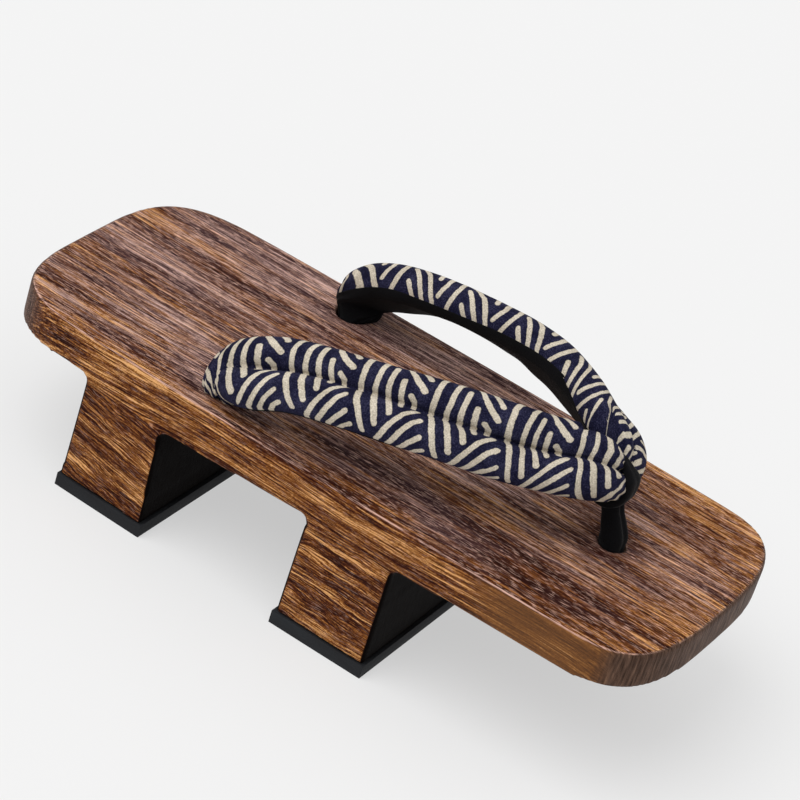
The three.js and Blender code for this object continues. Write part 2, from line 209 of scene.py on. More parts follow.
# Noise in the wood: a cell's size along the grain and both ways across it, its finer octaves and their
# strength, and its share of the tone.
Grain = namedtuple("Grain", "cell octaves rough share")
BANDS = Grain((90, 20, 5), 2, 0.5, 0.22)
STREAKS = Grain((40, 6, 1.6), 2, 0.5, 0.18)
LINES = Grain((50, 3, 0.4), 2, 0.5, 0.26)
DASHES = Grain((13, 1.1, 0.24), 2, 0.6, 0.36)
SPECKLE = Grain((0.9, 0.5, 0.5), 1, 0.5, 0.12)
FIBRES = Grain((1.2, 0.8, 9), 3, 0.6, 0.25)  # upright, on the board's ends
PORES = Grain((8, 1, 0.26), 1, 0.55, -0.45)
HUES = Grain((26, 3, 1.1), 2, 0.6, 1)
PATCHES = Grain((60, 20, 20), 3, 0.6, 1)
GLINTS = Grain((4, 0.8, 0.24), 1, 0.55, 1)
# Breaks in the painted highlight along the right side's top edge.
EDGE_HIGHLIGHT_BREAKS = Grain((9, 4, 4), 2, 0.5, 1)
SWAY, SWAY_HEIGHT = (140, 40, 40), 5  # how the grain wanders along the board
RIPPLE, RIPPLE_HEIGHT = (18, 7, 7), 2.2  # and in shorter waves in the teeth
RIPPLE_ABOVE = 0.15  # the share of those waves that the footboard has
HEEL_GRAIN_SLOPE = 0.22
TONE_SHIFT = -0.072
TONE_LOW, TONE_HIGH = 0.425, 0.575  # the noise's own tones that stand for the darkest and palest wood
PLAIN_CONTRAST, PLAIN_SHIFT, PLAIN_OLIVE = 0.5, -0.03, 0.4  # the plain sides' softer lines, and their olive
FIBRE_TONE = 0.35
# How dull the board's ends are, how far the underside goes to the near black of charring and painted shade,
# and how strong the painted highlight along the right top edge is.
END_DULL, UNDER_CHAR_AND_SHADE, EDGE_HIGHLIGHT_SHARE = 0.75, 0.75, 0.85
# From where to where along the board, or across it, and there how much more golden the wood becomes.
GOLD_BY_TOE = (45, 115, 0, 0.6)
GOLD_BY_HEEL = (-100, -138, 0, 0.3)
GOLD_BY_RIGHT_EDGE = (-44, -56, 0, 0.7)
PLAIN_FROM = (60, 90)
BETWEEN_TEETH = (-30, -20)
HEEL_TOOTH_FROM = (-40, -55)
UNDERSIDE_BLEND = 1.5  # the teeth's looks begin over this distance on either side of the underside

# ---- The cloth's and the rubber's colours ----
CREAM = [(0.3, (0.34, 0.29, 0.21)), (0.5, (0.62, 0.55, 0.44)), (0.7, (0.92, 0.84, 0.71))]
NAVY = [(0.35, (0.003, 0.003, 0.012)), (0.5, (0.011, 0.011, 0.034)), (0.65, (0.05, 0.05, 0.1))]
BLACK = [(0.3, (0.0012, 0.0012, 0.0016)), (0.75, (0.0045, 0.0045, 0.006))]
RUBBER = [(0.3, (0.006, 0.006, 0.008)), (0.7, (0.019, 0.021, 0.024))]
THREAD_PAIR = 0.62  # two threads of the printed cotton, side by side

# ---- The studio ----
CAMERA_TARGET = Vector((0, 0, 0.0712))  # a point above the middle of the board, in metres
CAMERA_DISTANCE = 1.2571
CAMERA_AZIMUTH, CAMERA_ELEVATION, CAMERA_ROLL = 22.85, 32.2, 18.03  # degrees
CAMERA_LENS, CAMERA_SENSOR = 157.4, 36
FLOOR_SIZE = 30
FLOOR_GREY, FLOOR_GLOW = 0.36, 0.525
SUN_DIRECTION, SUN_STRENGTH, SUN_SOFTNESS = Vector((0.35, 0.5, -1)), 1.5, 50
SKY_LOW, SKY_WHITE_FROM, SKY_STRENGTH = 0.3, 0.75, 0.75


# ---- Small helpers ----
def soft_noise(u, v, seed):
    """Smooth noise from -1 to 1 over a plane, with a lattice of one unit."""
    size = 64
    lattice = np.random.default_rng(seed).uniform(-1, 1, (size, size))
    u, v = np.broadcast_arrays(np.asarray(u, float), np.asarray(v, float))
    iu, iv = np.floor(u).astype(int), np.floor(v).astype(int)
    fu, fv = u - iu, v - iv
    fu, fv = fu * fu * (3 - 2 * fu), fv * fv * (3 - 2 * fv)
    low = lattice[iu % size, iv % size] * (1 - fu) + lattice[(iu + 1) % size, iv % size] * fu
    high = lattice[iu % size, (iv + 1) % size] * (1 - fu) + lattice[(iu + 1) % size, (iv + 1) % size] * fu
    return low * (1 - fv) + high * fv


def lumps(kind, along, around):
    """Soft noise of the named kind, at places along and round a piece of cloth."""
    return kind.amount * soft_noise(along / kind.along, around / kind.around, kind.seed)


def smooth_step(low, high, value):
    """0 at low, 1 at high and a soft step between; low may be the greater of the two."""
    t = np.clip((value - low) / (high - low), 0, 1)
    return t * t * (3 - 2 * t)


def unit(vectors):
    """The vectors with their lengths made 1."""
    return vectors / np.linalg.norm(vectors, axis=-1, keepdims=True)


def circle(steps):
    """Evenly spaced angles all the way round."""
    return FULL_TURN * np.arange(steps) / steps


def new_piece(name, rings, material, replaced=(), closed=False):
    """A smooth piece of the object from rings of points in millimetres, closed or with a cap at each end."""
    mesh = bpy.data.meshes.new(name)
    mesh.from_pydata((rings.reshape(-1, 3) * MM).tolist(), [], ring_faces(*rings.shape[:2], closed))
    mesh.validate()
    mesh.shade_smooth()
    piece = bpy.data.objects.new(name, mesh)
    bpy.context.scene.collection.objects.link(piece)
    return finish_piece(piece, material, replaced)


def finish_piece(piece, material, replaced=()):
    """Gives a piece its material, hangs it on the body's empty, and hides the CAD nodes that it replaces."""
    piece.data.materials.clear()
    piece.data.materials.append(material)
    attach(piece, BODY)
    if replaced:
        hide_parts(*replaced)
    return piece


def copy_of_node(node, name):
    """A new object with a copy of a CAD node's mesh, its doubled points welded."""
    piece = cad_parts[node].copy()
    piece.data = piece.data.copy()
    piece.name = name
    for key in list(piece.keys()):
        if key.startswith("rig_"):
            del piece[key]
    piece.parent = None
    bpy.context.scene.collection.objects.link(piece)
    weld(piece.data, 0.01 * MM)
    return piece


def weld(mesh, distance):
    """Joins the mesh's points that are closer together than the distance."""
    shape = bmesh.new()
    shape.from_mesh(mesh)
    bmesh.ops.remove_doubles(shape, verts=shape.verts, dist=distance)
    shape.to_mesh(mesh)
    shape.free()


def apply_modifiers(piece):
    """Replaces the piece's mesh with what its modifiers make of it."""
    graph = bpy.context.evaluated_depsgraph_get()
    made = bpy.data.meshes.new_from_object(piece.evaluated_get(graph))
    piece.modifiers.clear()
    piece.data = made


def ring_faces(rings, sides, closed):
    """Quads between rings of points; the last ring joins the first, or both have a flat cap."""
    faces = []
    for r in range(rings if closed else rings - 1):
        this, following = r * sides, (r + 1) % rings * sides
        for s in range(sides):
            t = (s + 1) % sides
            faces.append((this + s, this + t, following + t, following + s))
    if not closed:
        faces.append(tuple(reversed(range(sides))))
        faces.append(tuple(range((rings - 1) * sides, rings * sides)))
    return faces


# ---- Materials ----
class Shader:
    """A small builder for node materials. Its methods add nodes and return what they put out."""

    def __init__(self, name):
        self.material = bpy.data.materials.new(name)
        self.material.use_nodes = True
        self.tree = self.material.node_tree
        self.surface = self.tree.nodes["Principled BSDF"]

    def node(self, kind, inputs=(), **settings):
        made = self.tree.nodes.new(kind)
        for key, value in settings.items():
            setattr(made, key, value)
        for key, value in dict(inputs).items():
            self.feed(made.inputs[key], value)
        return made

    def feed(self, socket, value):
        """Links a node's output to the socket, or sets the socket to a plain value."""
        if isinstance(value, bpy.types.NodeSocket):
            self.tree.links.new(value, socket)
        elif value is not None:
            socket.default_value = value

    def set(self, **inputs):
        """Feeds the surface's own sockets, named with _ for each space."""
        for key, value in inputs.items():
            self.feed(self.surface.inputs[key.replace("_", " ")], value)

    def position(self):
        """The place on the object, in metres."""
        return self.node("ShaderNodeTexCoord").outputs["Object"]

    def millimetres(self, place):
        """The place's x, y and z in millimetres."""
        scaled = self.node("ShaderNodeVectorMath", {0: place, "Scale": 1 / MM}, operation="SCALE").outputs[0]
        return self.split(scaled)

    def split(self, vector):
        return self.node("ShaderNodeSeparateXYZ", {"Vector": vector}).outputs

    def moved(self, vector, offset):
        return self.node("ShaderNodeVectorMath", {0: vector, 1: offset}, operation="ADD").outputs[0]

    def stretched(self, vector, cell_mm):
        """Coordinates in which a cell has the size cell_mm along each axis."""
        scale = [1 / (size * MM) for size in cell_mm]
        return self.node("ShaderNodeMapping", {"Vector": vector, "Scale": scale}).outputs[0]

    def noise(self, vector, octaves=3.0, rough=0.55):
        inputs = {"Vector": vector, "Scale": 1.0, "Detail": octaves, "Roughness": rough}
        return self.node("ShaderNodeTexNoise", inputs).outputs["Fac"]

    def cells(self, vector, size_mm, octaves=3.0, rough=0.55):
        """Noise with cells of one size every way."""
        return self.noise(self.stretched(vector, (size_mm,) * 3), octaves, rough)

    def grain(self, vector, kind):
        """Noise of one of the kinds of grain in wood."""
        return self.noise(self.stretched(vector, kind.cell), kind.octaves, kind.rough)

    def wobble(self, vector, cell_mm, height_mm):
        """Noise about zero with the given height in metres."""
        centred = self.math("SUBTRACT", self.noise(self.stretched(vector, cell_mm), 2), 0.5)
        return self.math("MULTIPLY", centred, height_mm * MM)

    def spots(self, vector, rows):
        """Soft ellipses on the footbed, each adding its own amount."""
        total = 0.0
        for row in rows:
            scale = (1 / (row.half_x * MM), 1 / (row.half_y * MM), 0)
            shift = (-row.x / row.half_x, -row.y / row.half_y, 0)
            inputs = {"Vector": vector, "Scale": scale, "Location": shift}
            inside = self.node("ShaderNodeMapping", inputs).outputs[0]
            reach = self.node("ShaderNodeVectorMath", {0: inside}, operation="LENGTH").outputs["Value"]
            total = self.math("MULTIPLY_ADD", self.between(reach, 1.0, 0.25), row.amount, total)
        return total

    def math(self, operation, *values):
        return self.node("ShaderNodeMath", enumerate(values), operation=operation).outputs[0]

    def times(self, *values):
        total = values[0]
        for value in values[1:]:
            total = self.math("MULTIPLY", total, value)
        return total

    def sum(self, *values):
        total = values[0]
        for value in values[1:]:
            total = self.math("ADD", total, value)
        return total

    def outside(self, share):
        return self.math("SUBTRACT", 1.0, share)

    def between(self, value, low, high, to_low=0.0, to_high=1.0, smooth=True):
        """Maps the range from low to high to another one, and stops at its ends."""
        kind = "SMOOTHSTEP" if smooth else "LINEAR"
        inputs = {"Value": value, "From Min": low, "From Max": high, "To Min": to_low, "To Max": to_high}
        return self.node("ShaderNodeMapRange", inputs, interpolation_type=kind).outputs[0]

    def blend(self, share, first, second):
        """A number between two others."""
        return self.node("ShaderNodeMix", {0: share, 2: first, 3: second}, data_type="FLOAT").outputs[0]

    def mix(self, share, first, second):
        """A colour between two others."""
        return self.node("ShaderNodeMix", {0: share, 6: first, 7: second}, data_type="RGBA").outputs[2]

    def ramp(self, value, stops):
        made = self.node("ShaderNodeValToRGB", {"Fac": value})
        ramp = made.color_ramp
        while len(ramp.elements) < len(stops):
            ramp.elements.new(0.5)
        for element, (place, colour) in zip(ramp.elements, stops):
            element.position = place
            element.color = (*colour, 1)
        return made.outputs[0]

    def grey_ramp(self, value, stops):
        return self.split(self.ramp(value, [(place, (tone,) * 3) for place, tone in stops]))[0]

    def bump(self, height, distance_mm, strength=1.0, under=None):
        inputs = {"Height": height, "Distance": distance_mm * MM, "Strength": strength, "Normal": under}
        return self.node("ShaderNodeBump", inputs).outputs[0]


# Where a point of the board is and which way it faces, each a share from 0 to 1: upward and its opposite, on
# an end, below the footboard, on the underside, and on the plain side by the toe.
Faces = namedtuple("Faces", "upward sides end below under plain")


def wood_faces(s, place):
    nx, _, nz = s.split(s.node("ShaderNodeNewGeometry").outputs["Normal"])
    x, _, z = s.millimetres(place)
    upward = s.between(nz, 0.5, 0.9)
    sides = s.outside(upward)
    return Faces(
        upward=upward,
        sides=sides,
        end=s.between(s.math("ABSOLUTE", nx), 0.25, 0.6),
        below=s.between(z, UNDERSIDE + UNDERSIDE_BLEND, UNDERSIDE - UNDERSIDE_BLEND),
        under=s.between(nz, -0.5, -0.85),
        plain=s.times(s.between(x, *PLAIN_FROM), sides),
    )


def wood_grain(s, place, faces):
    """Coordinates that follow the grain: along the board, swaying a little, and sloping in the heel tooth."""
    x = s.millimetres(place)[0]
    ripple = s.times(s.wobble(place, RIPPLE, RIPPLE_HEIGHT), s.blend(faces.below, RIPPLE_ABOVE, 1))
    shift = s.sum(s.wobble(place, SWAY, SWAY_HEIGHT), ripple)
    slope = s.math("MULTIPLY_ADD", x, HEEL_GRAIN_SLOPE * MM, -HEEL_GRAIN_SLOPE * HEEL_TOOTH_MIDDLE * MM)
    slope = s.times(slope, faces.below, s.between(x, *HEEL_TOOTH_FROM))
    offset = s.node("ShaderNodeCombineXYZ", {"Y": shift, "Z": s.sum(shift, slope)}).outputs[0]
    inputs = {"Vector": s.moved(place, offset), "Rotation": (math.radians(45), 0, 0)}
    return s.node("ShaderNodeMapping", inputs).outputs[0]


def wood_tone(s, place, grain, faces):
    """How pale the wood is, from 0 to 1, and the fine dashes in it that also stand up."""
    dashes = s.grain(grain, DASHES)
    along = s.math("MULTIPLY_ADD", dashes, DASHES.share, TONE_SHIFT)
    for kind in (LINES, STREAKS, BANDS):
        along = s.math("MULTIPLY_ADD", s.grain(grain, kind), kind.share, along)
    along = s.math("MULTIPLY_ADD", s.grain(place, SPECKLE), SPECKLE.share, along)
    plain = s.math("MULTIPLY_ADD", s.math("SUBTRACT", along, 0.5), PLAIN_CONTRAST, 0.5)
    across = s.math("MULTIPLY_ADD", s.grain(place, FIBRES), FIBRES.share, FIBRE_TONE)
    tone = s.blend(faces.plain, along, plain)
    tone = s.blend(s.times(faces.end, faces.sides), tone, across)
    return s.between(tone, TONE_LOW, TONE_HIGH, smooth=False), dashes


def wood_gold(s, place, grain, faces):
    """How golden the wood is: by both ends and the right side, in patches and streaks, and on its sides."""
    x, y, _ = s.millimetres(place)
    gold = s.sum(
        s.between(x, *GOLD_BY_TOE),
        s.between(x, *GOLD_BY_HEEL),
        s.between(y, *GOLD_BY_RIGHT_EDGE),
        s.between(s.grain(place, PATCHES), 0.35, 0.65, -0.15, 0.55),
        s.between(s.grain(s.moved(grain, (0.1, 0.3, 0.2)), HUES), 0.35, 0.65, -0.35, 0.5),
        s.spots(place, GOLD_SPOTS),
    )
    # The sides are all golden; the top keeps the smoky colours, which are partly a painted sheen.
    return s.math("MINIMUM", s.math("MAXIMUM", gold, faces.sides), 1.0)


def wood_shade(s, place, faces):
    """How much paler the wood is in bands across the teeth, less how much darker it is in spots on the
    footbed, partly painted shade.
    """
    x, _, z = s.millimetres(place)
    height = s.math("DIVIDE", z, TOP)
    at_heel = s.grey_ramp(height, HEEL_TOOTH_TONES)
    at_toe = s.grey_ramp(height, TOE_TOOTH_TONES)
    tooth = s.math("SUBTRACT", s.blend(s.between(x, *BETWEEN_TEETH), at_heel, at_toe), 0.5)
    # Darker spots on the top: the strap's painted shadow, painted shade round the toe loop's post, and other
    # darkening.
    smoke_and_shade = s.times(s.spots(place, SMOKE_AND_SHADE_SPOTS), faces.upward)
    return s.math("SUBTRACT", s.times(tooth, faces.below), smoke_and_shade)


def wood_painted_highlights(s, place, grain, dashes, faces):
    """The share of painted highlight: fine glints along the grain, and a bright line along the right side's
    top edge.
    """
    _, ny, nz = s.split(s.node("ShaderNodeNewGeometry").outputs["Normal"])
    glints = s.between(s.grain(s.moved(grain, (0.3, 0.2, 0.1)), GLINTS), 0.58, 0.68)
    glints = s.times(glints, s.outside(faces.plain), s.math("MULTIPLY_ADD", faces.upward, 0.45, 0.22))
    edge = s.times(
        s.between(nz, 0.6, 0.78),
        s.between(nz, 0.95, 0.86),
        s.between(ny, -0.2, -0.5),
        s.between(s.grain(place, EDGE_HIGHLIGHT_BREAKS), 0.32, 0.45),
        s.between(dashes, 0.42, 0.52),
    )
    # Both are painted highlights: the glints, stronger on the top, and the bright line along the right top
    # edge.
    return s.math("MAXIMUM", glints, s.times(edge, EDGE_HIGHLIGHT_SHARE))


def wood_material():
    """Burnt and brushed wood: fine raised lines along the board, smoky on top, partly as a painted sheen, and
    golden on the sides.
    """
    s = Shader("burnt_wood")
    place = s.position()
    faces = wood_faces(s, place)
    grain = wood_grain(s, place, faces)
    tone, dashes = wood_tone(s, place, grain, faces)
    pores = s.between(s.grain(grain, PORES), 0.42, 0.3)
    tone = s.sum(tone, s.times(faces.plain, PLAIN_SHIFT), wood_shade(s, place, faces))
    tone = s.math("MULTIPLY_ADD", s.times(pores, s.outside(faces.plain)), PORES.share, tone)

    # Smoky colours, partly a painted sheen, where the wood is not golden.
    colour = s.mix(wood_gold(s, place, grain, faces), s.ramp(tone, SMOKY_SHEEN_WOOD), s.ramp(tone, WARM_WOOD))
    colour = s.mix(s.times(faces.plain, PLAIN_OLIVE), colour, OLIVE_WOOD)
    board_end = s.times(faces.end, s.outside(faces.below))
    colour = s.mix(s.times(board_end, END_DULL), colour, s.ramp(tone, END_WOOD))
    # Painted highlights in pale wood colour: glints and the right top edge's bright line.
    colour = s.mix(wood_painted_highlights(s, place, grain, dashes, faces), colour, PALE_WOOD_HIGHLIGHT)
    # The teeth's ends and the underside are painted near black: partly charring, partly painted shade under
    # the board.
    char_and_shade = s.math("MAXIMUM", s.times(faces.below, faces.end), s.times(faces.under, UNDER_CHAR_AND_SHADE))
    colour = s.mix(char_and_shade, colour, CHARRED_SHADED_WOOD)

    relief = s.math("MULTIPLY_ADD", dashes, 0.7, s.times(pores, -0.25))
    s.set(
        Base_Color=colour,
        Roughness=s.between(tone, 0.0, 1.0, 0.55, 0.36, smooth=False),
        Specular_IOR_Level=s.between(char_and_shade, 0.0, 1.0, 0.05, 0.01),
        Normal=s.bump(relief, 0.45, 0.8),
    )
    return s.material


def print_material():
    """Cotton printed in cream on navy, with ragged edges to the strokes and a fine weave."""
    s = Shader("printed_cotton")
    place = s.position()
    along, around, _ = s.split(s.node("ShaderNodeUVMap", uv_map="cloth").outputs[0])
    warp = s.math("SINE", s.times(along, FULL_TURN / THREAD_PAIR))
    weft = s.math("SINE", s.times(around, FULL_TURN / THREAD_PAIR))
    ink = s.node("ShaderNodeAttribute", attribute_name="ink").outputs["Fac"]
    ragged = s.cells(place, 1.1, 3, 0.6)
    edge = s.math("MULTIPLY_ADD", s.math("SUBTRACT", ragged, 0.5), 0.7, ink)
    blotch = s.cells(place, 7, 4, 0.65)
    speck = s.cells(place, 0.45, 2, 0.7)
    cream = s.ramp(s.math("MULTIPLY_ADD", speck, 0.7, s.times(blotch, 0.3)), CREAM)
    navy = s.ramp(s.math("MULTIPLY_ADD", speck, 0.6, s.times(blotch, 0.4)), NAVY)
    thread = s.bump(s.times(warp, weft), 0.07, 0.7)
    s.set(
        Base_Color=s.mix(s.between(edge, 0.14, -0.14), navy, cream),
        Roughness=0.85,
        Specular_IOR_Level=0.08,
        Normal=s.bump(ragged, 0.25, 0.4, under=thread),
    )
    return s.material


def black_cloth_material(name, nap_mm, sheen):
    """Soft black cloth with a nap of the given size."""
    s = Shader(name)
    place = s.position()
    nap = s.cells(place, nap_mm, 3, 0.6)
    wear = s.cells(place, 9)
    s.set(
        Base_Color=s.ramp(s.math("MULTIPLY_ADD", nap, 0.5, s.times(wear, 0.5)), BLACK),
        Roughness=0.95,
        Sheen_Weight=sheen,
        Sheen_Roughness=0.4,
        Specular_IOR_Level=0.15,
        Normal=s.bump(nap, 0.3, 0.7),
    )
    return s.material


def rubber_material():
    """Black rubber, gritty and a little scuffed in level streaks."""
    s = Shader("sole_rubber")
    place = s.position()
    grit = s.cells(place, 0.9, 4, 0.6)
    scuff = s.noise(s.stretched(place, (20, 20, 6)), 4, 0.65)
    s.set(
        Base_Color=s.ramp(scuff, RUBBER),
        Roughness=s.between(scuff, 0.3, 0.7, 0.7, 0.9),
        Specular_IOR_Level=0.3,
        Normal=s.bump(grit, 0.2, 0.6),
    )
    return s.material


# ---- The board ----
def make_board(material):
    """The board and its teeth, with their edges softened."""
    board = copy_of_node("board", "wooden_board")
    remesh = board.modifiers.new("even", "REMESH")
    remesh.mode = "VOXEL"
    remesh.voxel_size = BOARD_VOXEL * MM
    remesh.use_smooth_shade = True
    soften = board.modifiers.new("soften", "SMOOTH")
    soften.factor = 0.5
    soften.iterations = 2
    apply_modifiers(board)
    board.data.shade_smooth()
    return finish_piece(board, material, ["board"])


def make_pad(node, material):
    """A rubber sole with rounded edges."""
    pad = copy_of_node(node, node.replace("_pad", "_rubber"))
    bevel = pad.modifiers.new("edges", "BEVEL")
    bevel.width = PAD_EDGE * MM
    bevel.segments = 3
    bevel.angle_limit = math.radians(35)
    apply_modifiers(pad)
    pad.data.shade_smooth()
    return finish_piece(pad, material, [node])


# ---- The strap's form ----
# Each roll at every station: its middle and radius, and the angles of the seam and of the cover's edge. The
# direction is 1 for the inner roll and -1 for the outer one.
Roll = namedtuple("Roll", "middle radius direction seam edge")
# Both rolls, the strap's directions, how far each station is along and from its nearer end, and
# half the strap's length.
Strap = namedtuple("Strap", "inner outer across front along from_end half")


def catmull_rom(points, steps):
    """A centripetal Catmull-Rom curve through rows of numbers, whose first three are a place."""
    points = np.asarray(points, float)
    ends = [2 * points[0] - points[1], *points, 2 * points[-1] - points[-2]]
    curve = []
    for k in range(len(points) - 1):
        p0, p1, p2, p3 = ends[k:k + 4]
        gaps = [max(np.linalg.norm(b[:3] - a[:3]) ** 0.5, 1e-4) for a, b in ((p0, p1), (p1, p2), (p2, p3))]
        g0, g1, g2 = gaps
        m1 = g1 * ((p1 - p0) / g0 - (p2 - p0) / (g0 + g1) + (p2 - p1) / g1)
        m2 = g1 * ((p2 - p1) / g1 - (p3 - p1) / (g1 + g2) + (p3 - p2) / g2)
        t = (np.arange(steps) / steps)[:, None]
        curve.append(p1 * (2 * t**3 - 3 * t**2 + 1) + m1 * (t**3 - 2 * t**2 + t)
                     + p2 * (3 * t**2 - 2 * t**3) + m2 * (t**3 - t**2))
    return np.vstack([*curve, points[-1:]])


def both_sides(rows):
    """The rows from the right heel hole round the toe to the left one, as x, y, z and radius."""
    right = [(row.forward, -row.out, TOP + row.up, row.radius) for row in rows]
    left = [(x, -y, z, radius) for x, y, z, radius in right[-2::-1]]
    return right + left


def at_stations(line, along, stations):
    """The line's rows at other places along it."""
    return np.stack([np.interp(stations, along, column) for column in line.T], axis=-1)


def strap_lines():
    """The middles and radii of both rolls at evenly spaced stations, and how far along each station is."""
    inner = catmull_rom(both_sides(INNER_ROLL), 40)
    outer = catmull_rom(both_sides(OUTER_ROLL), 40)
    middle = (inner[:, :3] + outer[:, :3]) / 2
    along = np.concatenate([[0], np.cumsum(np.linalg.norm(np.diff(middle, axis=0), axis=1))])
    stations = np.linspace(0, along[-1], int(along[-1] / STRAP_PITCH))
    return at_stations(inner, along, stations), at_stations(outer, along, stations), stations


def smoothed(line):
    """The line's rows averaged over a window of stations."""
    kernel = np.hanning(BEND_WINDOW + 2)[1:-1]
    kernel /= kernel.sum()
    padded = np.pad(line, ((BEND_WINDOW // 2, BEND_WINDOW // 2), (0, 0)), mode="edge")
    return np.stack([np.convolve(column, kernel, "valid") for column in padded.T], axis=-1)


def strap_frame(inner, outer):
    """The directions across the strap, from the inner roll to the outer one, and out of its front."""
    across = unit(smoothed(outer[:, :3] - inner[:, :3]))
    tangent = np.gradient(inner[:, :3], axis=0) + np.gradient(outer[:, :3], axis=0)
    front = unit(np.cross(across, unit(smoothed(tangent))))
    return across, front


def strap_section(inner, outer, from_end):
    """How each roll turns: the angle of the seam and of the edge of the cover, at every station."""
    spread = np.linalg.norm(outer[:, :3] - inner[:, :3], axis=1)
    deepest = math.cos(math.asin(SEAM_DEPTH / ROLL))
    seams = [np.arccos(np.minimum(spread / 2 / roll[:, 3], deepest)) for roll in (inner, outer)]
    at_hole = smooth_step(GATHER_START, GATHER_FULL, from_end)
    edges = [np.radians(180 + COVER_EDGE - tuck * at_hole) for tuck in (TUCK_INNER, TUCK_OUTER)]
    edges[0] = edges[0] + cover_turned(from_end) / ROLL
    return seams, edges


def cover_turned(from_end):
    """How far the cover has turned round the rolls, toward the inner one, at every station."""
    on_left = np.arange(len(from_end)) > np.argmax(from_end)
    return np.where(on_left, np.interp(from_end.max() - from_end, *zip(*TURNED)), 0)


def strap_form():
    """All that the cover and the lining are built from."""
    inner, outer, along = strap_lines()
    across, front = strap_frame(inner, outer)
    half = along[-1] / 2
    from_end = half - np.abs(along - half)
    seams, edges = strap_section(inner, outer, from_end)
    rolls = [Roll(line[:, :3], line[:, 3], direction, seam, edge)
             for line, direction, seam, edge in zip((inner, outer), (1, -1), seams, edges)]
    return Strap(*rolls, across, front, along, from_end, half)


def pinched(points):
    """Draws the strap in where the toe loop goes round it, so that it bulges out on either side."""
    x, y, z = points[..., 0], np.abs(points[..., 1]), points[..., 2]
    inner_length = LOOP_HALF_LENGTH - LOOP_BAND / 2 - LOOP_SLACK
    inner_height = LOOP_HALF_HEIGHT - LOOP_BAND / 2 - LOOP_SLACK
    reach = np.hypot((x - LOOP_X) / inner_length, (z - LOOP_Z) / inner_height)
    over_top = smooth_step(*LOOP_TOP, (z - LOOP_Z) / inner_height / np.maximum(reach, 0.5))
    half_width = LOOP_WIDTH / 2 * (1 - PINCH_NARROWS * over_top)
    beside = np.clip((y - half_width + PINCH_LEAD) / PINCH_WIDTH, 0, None)
    limit = 1 + PINCH_BULGE * beside ** 0.5
    by_loop = (y < PINCH_SIDE) & (x > PINCH_BACK)
    scale = np.where(by_loop, np.minimum(limit / np.maximum(reach, 1e-6), 1), 1)
    made = points.copy()
    made[..., 0] = LOOP_X + (x - LOOP_X) * scale
    made[..., 2] = LOOP_Z + (z - LOOP_Z) * scale
    return made


def resting(points):
    """Keeps the strap on top of the board, except where it goes down through the heel holes."""
    made = points.copy()
    from_hole = np.hypot(points[..., 0] - HEEL_HOLE.x, np.abs(points[..., 1]) - HEEL_HOLE.y)
    limit = HEEL_HOLE_RADIUS - GAP
    mouth = TOP - 1.5
    outside = from_hole > limit
    on_top = outside & (points[..., 2] > mouth) & (points[..., 2] < TOP + GAP)
    made[..., 2] = np.where(on_top, TOP + GAP, points[..., 2])
    below = outside & (points[..., 2] <= mouth)
    shrink = np.where(below, limit / np.maximum(from_hole, 1e-6), 1)
    made[..., 0] = HEEL_HOLE.x + (made[..., 0] - HEEL_HOLE.x) * shrink
    side = np.sign(points[..., 1])
    made[..., 1] = side * (HEEL_HOLE.y + (np.abs(made[..., 1]) - HEEL_HOLE.y) * shrink)
    return made


def on_roll(strap, roll, radius, turn):
    """Points on a roll at an angle from the line to the other roll, round the front."""
    turn = turn if roll.direction > 0 else math.pi - turn
    return roll.middle[:, None] + radius[..., None] * (
        np.cos(turn)[..., None] * strap.across[:, None] + np.sin(turn)[..., None] * strap.front[:, None])


# ---- The strap's cover ----
def strap_columns():
    """Where the cover's columns stand on a roll, as a share of the way from the seam to the cloth's edge."""
    reach = ROLL * math.radians(COVER_TURN)
    even = np.arange(EVEN_COLUMNS_START, reach, STRAP_PITCH)
    return np.concatenate([SEAM_COLUMNS, even, [reach]]) / reach


def cover_relief(strap, around):
    """How far the cloth stands proud of its round roll: soft lumps of stuffing, seam puckers and gathers."""
    along, from_end = strap.along[:, None], strap.from_end[:, None]
    stuffing = lumps(STUFFING, along, around)
    close = np.exp(-np.abs(around) / SEAM_PULL_REACH)
    which_side = 3 * np.sign(around)
    puckers = (lumps(PUCKERS, along, which_side) - SEAM_PULL) * close
    sway = lumps(FOLD_SWAY, from_end, around)
    near_hole = smooth_step(FOLDS_START, GATHER_FULL, from_end)
    folds = FOLD_HEIGHT * near_hole * np.sin(FULL_TURN * around / FOLD_PITCH + FOLD_LEAN * sway)
    near_toe = smooth_step(TUCKS_START, TUCKS_FULL, strap.half - from_end)
    tucks = TUCK_HEIGHT * near_toe * np.sin(FULL_TURN * around / TUCK_PITCH + sway)
    return stuffing + puckers + folds + tucks


def cloth_from_point(points, along, half):
    """How far each point is from the strap's point, counted along its own line of cloth in both bends."""
    steps = np.linalg.norm(np.diff(points, axis=0), axis=2)
    walked = np.concatenate([np.zeros((1, points.shape[1])), np.cumsum(steps, axis=0)])
    from_point = np.abs(along - half)[:, None]
    on_right = (along < half)[:, None]
    first, last = np.flatnonzero(from_point[:, 0] < POINT_BEND_END)[[0, -1]]
    near = POINT_BEND_END - np.where(on_right, walked - walked[first], walked[last] - walked)
    first, last = np.flatnonzero(from_point[:, 0] < HOLE_BEND_START)[[0, -1]]
    beyond = np.where(on_right, walked[first] - walked, walked - walked[last])
    far = from_point + beyond - beyond[:, :1]
    cloth = np.where(from_point < POINT_BEND_END, near, from_point)
    return np.where(from_point > HOLE_BEND_START, far, cloth)


